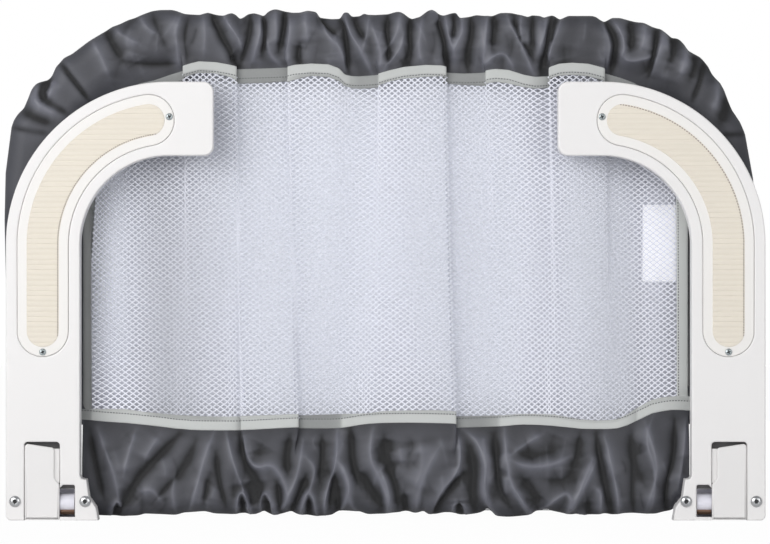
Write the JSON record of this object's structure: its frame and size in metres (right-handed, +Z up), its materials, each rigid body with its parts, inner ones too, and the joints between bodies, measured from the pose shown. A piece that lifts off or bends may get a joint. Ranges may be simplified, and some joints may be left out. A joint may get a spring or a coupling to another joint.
{
  "type": "folding bed guard rail",
  "caption": "Folding bed guard rail with a gathered cloth cover, a net window and two J-shaped under-mattress arms folded flat.",
  "frame": {"origin": "on the floor, in the middle of the packed guard's width and depth", "axes": "+Z up, +X along the rail, the folded arms lie on the -Y side"},
  "size_m": [0.76, 0.07, 0.5075],
  "materials": {
    "white_plastic": "satin",
    "hinge_plastic": "satin",
    "pad_rubber": "matte",
    "bright_steel": "satin",
    "latch_steel": "satin",
    "tube_paint": "satin",
    "satin_cloth": "satin",
    "tape_cloth": "matte",
    "net_cloth": "matte",
    "label_cloth": "matte"
  },
  "bodies": {
    "frame_left": {"upper_tube_left": "tube_paint", "lower_tube_left": "tube_paint", "hinge_base_left": "hinge_plastic", "latch_plate_left": "latch_steel", "slide_collar_upper": "white_plastic", "slide_collar_lower": "white_plastic", "cover_corner_left": "satin_cloth", "cover_side_left": "satin_cloth", "tape_side_left": "tape_cloth", "cover_top": "satin_cloth", "cover_bottom": "satin_cloth", "tape_top": "tape_cloth", "tape_bottom": "tape_cloth", "net_front": "net_cloth", "net_back": "net_cloth"},
    "frame_right": {"upper_tube_right": "tube_paint", "lower_tube_right": "tube_paint", "hinge_base_right": "hinge_plastic", "latch_plate_right": "latch_steel", "cover_corner_right": "satin_cloth", "cover_side_right": "satin_cloth", "tape_side_right": "tape_cloth", "label_right": "label_cloth"},
    "arm_left": {"arm_front_shell_left": "white_plastic", "arm_back_shell_left": "white_plastic", "bezel_left": "white_plastic", "grip_pad_left": "pad_rubber", "bezel_screw_left_1": "bright_steel", "bezel_screw_left_2": "bright_steel", "foot_bolt_left_1": "bright_steel", "foot_bolt_left_2": "bright_steel", "foot_nut_left_1": "bright_steel", "foot_nut_left_2": "bright_steel", "hinge_pin_left": "bright_steel", "lever_pin_left": "bright_steel", "lever_spring_left": "bright_steel"},
    "arm_right": {"arm_front_shell_right": "white_plastic", "arm_back_shell_right": "white_plastic", "bezel_right": "white_plastic", "grip_pad_right": "pad_rubber", "bezel_screw_right_1": "bright_steel", "bezel_screw_right_2": "bright_steel", "foot_bolt_right_1": "bright_steel", "foot_bolt_right_2": "bright_steel", "foot_nut_right_1": "bright_steel", "foot_nut_right_2": "bright_steel", "hinge_pin_right": "bright_steel", "lever_pin_right": "bright_steel", "lever_spring_right": "bright_steel"},
    "lever_left": {"lever_left": "white_plastic"},
    "lever_right": {"lever_right": "white_plastic"}
  },
  "joints": [
    {"name": "frame_extend", "type": "slide", "parent": "frame_left", "child": "frame_right", "axis": [1, 0, 0], "range_m": [0, 0.3], "deforming": ["cover_top", "cover_bottom", "tape_top", "tape_bottom", "net_front", "net_back"]},
    {"name": "arm_left_fold", "type": "hinge", "parent": "frame_left", "child": "arm_left", "pos_m": [-0.343, -0.0201, 0.017], "axis": [1, 0, 0], "range_deg": [0, 90]},
    {"name": "arm_right_fold", "type": "hinge", "parent": "frame_right", "child": "arm_right", "pos_m": [0.343, -0.0201, 0.017], "axis": [1, 0, 0], "range_deg": [0, 90]},
    {"name": "lever_left_press", "type": "hinge", "parent": "arm_left", "child": "lever_left", "pos_m": [-0.343, -0.0261, 0.048], "axis": [-1, 0, 0], "range_deg": [0, 8], "stiffness_Nm_per_rad": 0.6, "springref_deg": -8.59, "deforming": ["lever_spring_left"]},
    {"name": "lever_right_press", "type": "hinge", "parent": "arm_right", "child": "lever_right", "pos_m": [0.343, -0.0261, 0.048], "axis": [-1, 0, 0], "range_deg": [0, 8], "stiffness_Nm_per_rad": 0.6, "springref_deg": -8.59, "deforming": ["lever_spring_right"]}
  ]
}
